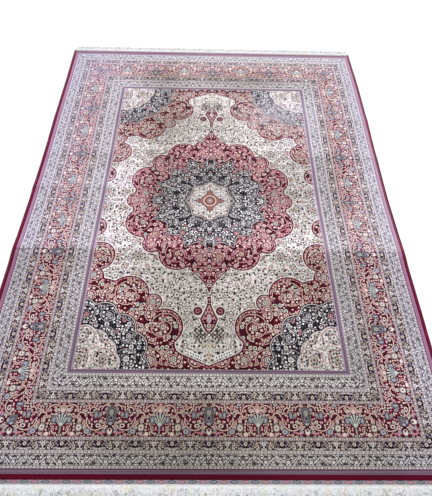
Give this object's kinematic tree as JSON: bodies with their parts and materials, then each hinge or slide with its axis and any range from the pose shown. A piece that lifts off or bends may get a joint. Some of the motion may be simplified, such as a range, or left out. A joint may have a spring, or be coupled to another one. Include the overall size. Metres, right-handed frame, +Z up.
{
  "type": "silk rug",
  "caption": "Flat rectangular pile rug with overcast long sides, thin flat-woven ends and a fringe at each end.",
  "frame": {"origin": "on the floor, under the middle of the rug", "axes": "+X across the rug, +Y along it towards the far fringe, +Z up out of the pile"},
  "size_m": [1.83, 2.5566, 0.0105],
  "materials": {
    "silk_pile": "cut silk pile with a soft directional sheen, patterned in crimson, ivory, navy and grey-blue",
    "overcast_silk": "tightly wrapped dark crimson silk yarn",
    "fringe_silk": "loose undyed silk warp ends, bluish white, glossy"
  },
  "bodies": {
    "root": {"rug_cloth": "silk_pile", "selvedge_left": "overcast_silk", "selvedge_right": "overcast_silk", "fringe_far": "fringe_silk", "fringe_near": "fringe_silk"}
  },
  "joints": []
}
